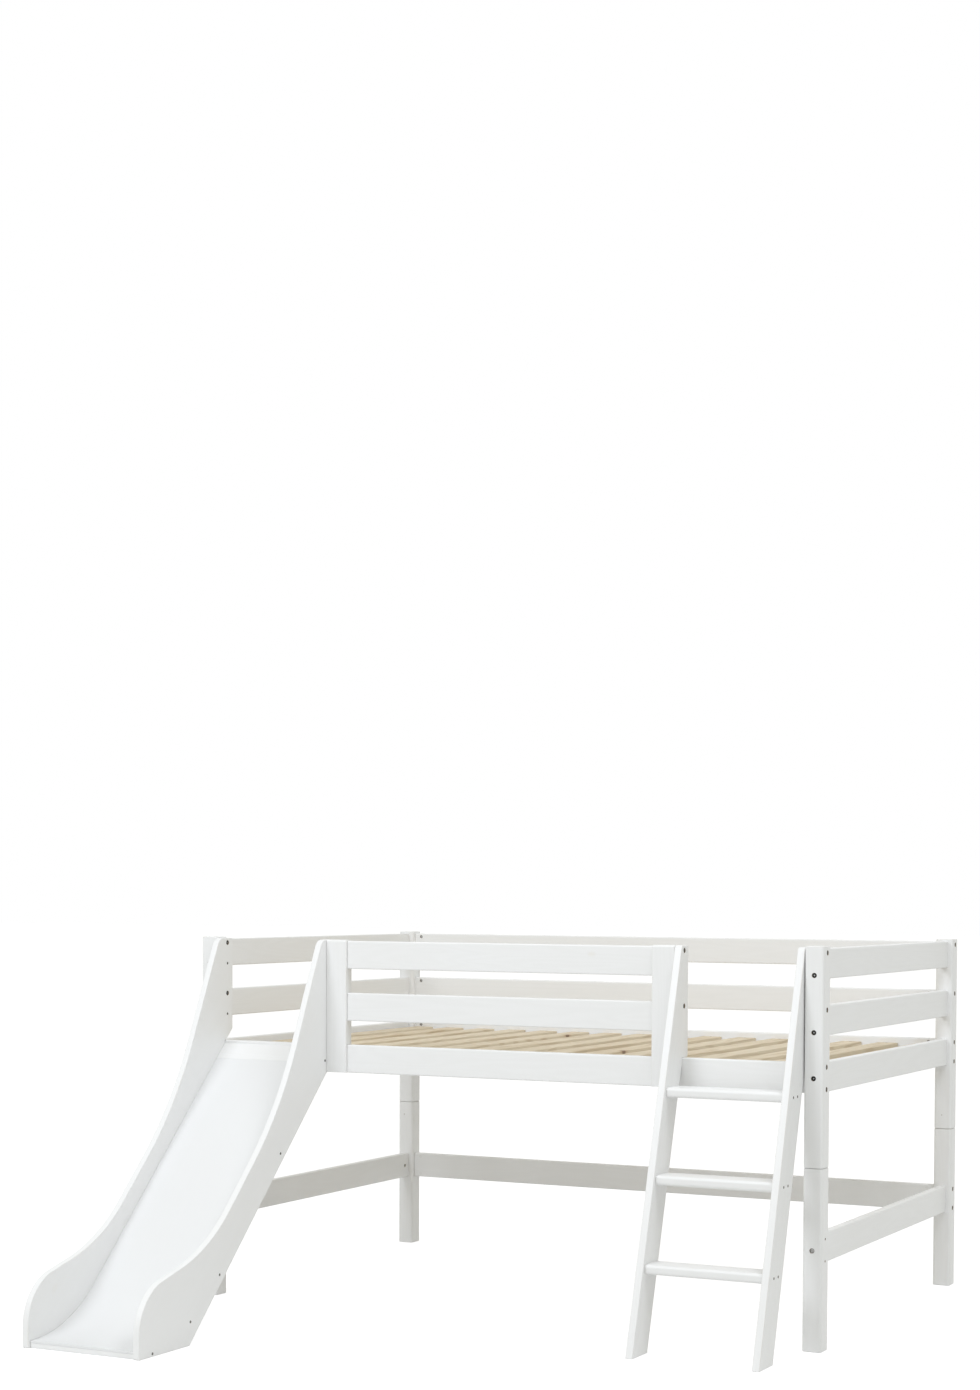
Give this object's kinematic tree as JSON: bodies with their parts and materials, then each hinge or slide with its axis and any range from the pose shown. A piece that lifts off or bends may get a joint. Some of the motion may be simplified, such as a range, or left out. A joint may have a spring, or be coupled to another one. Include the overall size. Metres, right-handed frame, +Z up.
{
  "type": "mid-high bed with slide and ladder",
  "caption": "White wooden mid-high bed with a slide at one end of its front and a slanted ladder at the other, guard rails all round, a slatted base and open space below.",
  "frame": {"origin": "on the floor, under the middle of the footprint of bed, slide and ladder together", "axes": "+X along the bed from the slide end to the ladder end, +Y from the foot of the slide to the rear rails, +Z up"},
  "size_m": [2.06, 2.214, 1.125],
  "materials": {
    "white_paint": "white painted pine, satin",
    "slide_laminate": "white laminated board, smooth",
    "natural_pine": "planed natural pine, unpainted"
  },
  "bodies": {
    "root": {"leg_front_left": "white_paint", "leg_front_right": "white_paint", "leg_rear_left": "white_paint", "leg_rear_right": "white_paint", "post_front_left": "white_paint", "post_front_right": "white_paint", "post_rear_left": "white_paint", "post_rear_right": "white_paint", "left_end_top_rail": "white_paint", "left_end_middle_rail": "white_paint", "left_end_bed_rail": "white_paint", "left_end_low_rail": "white_paint", "right_end_top_rail": "white_paint", "right_end_middle_rail": "white_paint", "right_end_bed_rail": "white_paint", "right_end_low_rail": "white_paint", "rear_top_rail": "white_paint", "rear_middle_rail": "white_paint", "rear_bed_rail": "white_paint", "rear_low_rail": "white_paint", "front_bed_rail": "white_paint", "slide_upright": "white_paint", "ladder_upright": "white_paint", "guard_middle_rail": "white_paint", "guard_top_rail": "white_paint", "front_slat_bearer": "white_paint", "rear_slat_bearer": "white_paint", "ladder_stringer_left": "white_paint", "ladder_stringer_right": "white_paint", "ladder_rung_1": "white_paint", "ladder_rung_2": "white_paint", "ladder_rung_3": "white_paint", "slide_panel_left": "white_paint", "slide_panel_right": "white_paint", "slide_top_board": "white_paint", "slide_batten_head": "white_paint", "slide_batten_lip": "white_paint", "slide_batten_1": "white_paint", "slide_batten_2": "white_paint", "slide_batten_3": "white_paint", "slide_sheet": "slide_laminate", "slat_01": "natural_pine", "slat_02": "natural_pine", "slat_03": "natural_pine", "slat_04": "natural_pine", "slat_05": "natural_pine", "slat_06": "natural_pine", "slat_07": "natural_pine", "slat_08": "natural_pine", "slat_09": "natural_pine", "slat_10": "natural_pine", "slat_11": "natural_pine", "slat_12": "natural_pine", "slat_13": "natural_pine", "slat_14": "natural_pine", "slat_15": "natural_pine", "slat_16": "natural_pine"}
  },
  "joints": []
}
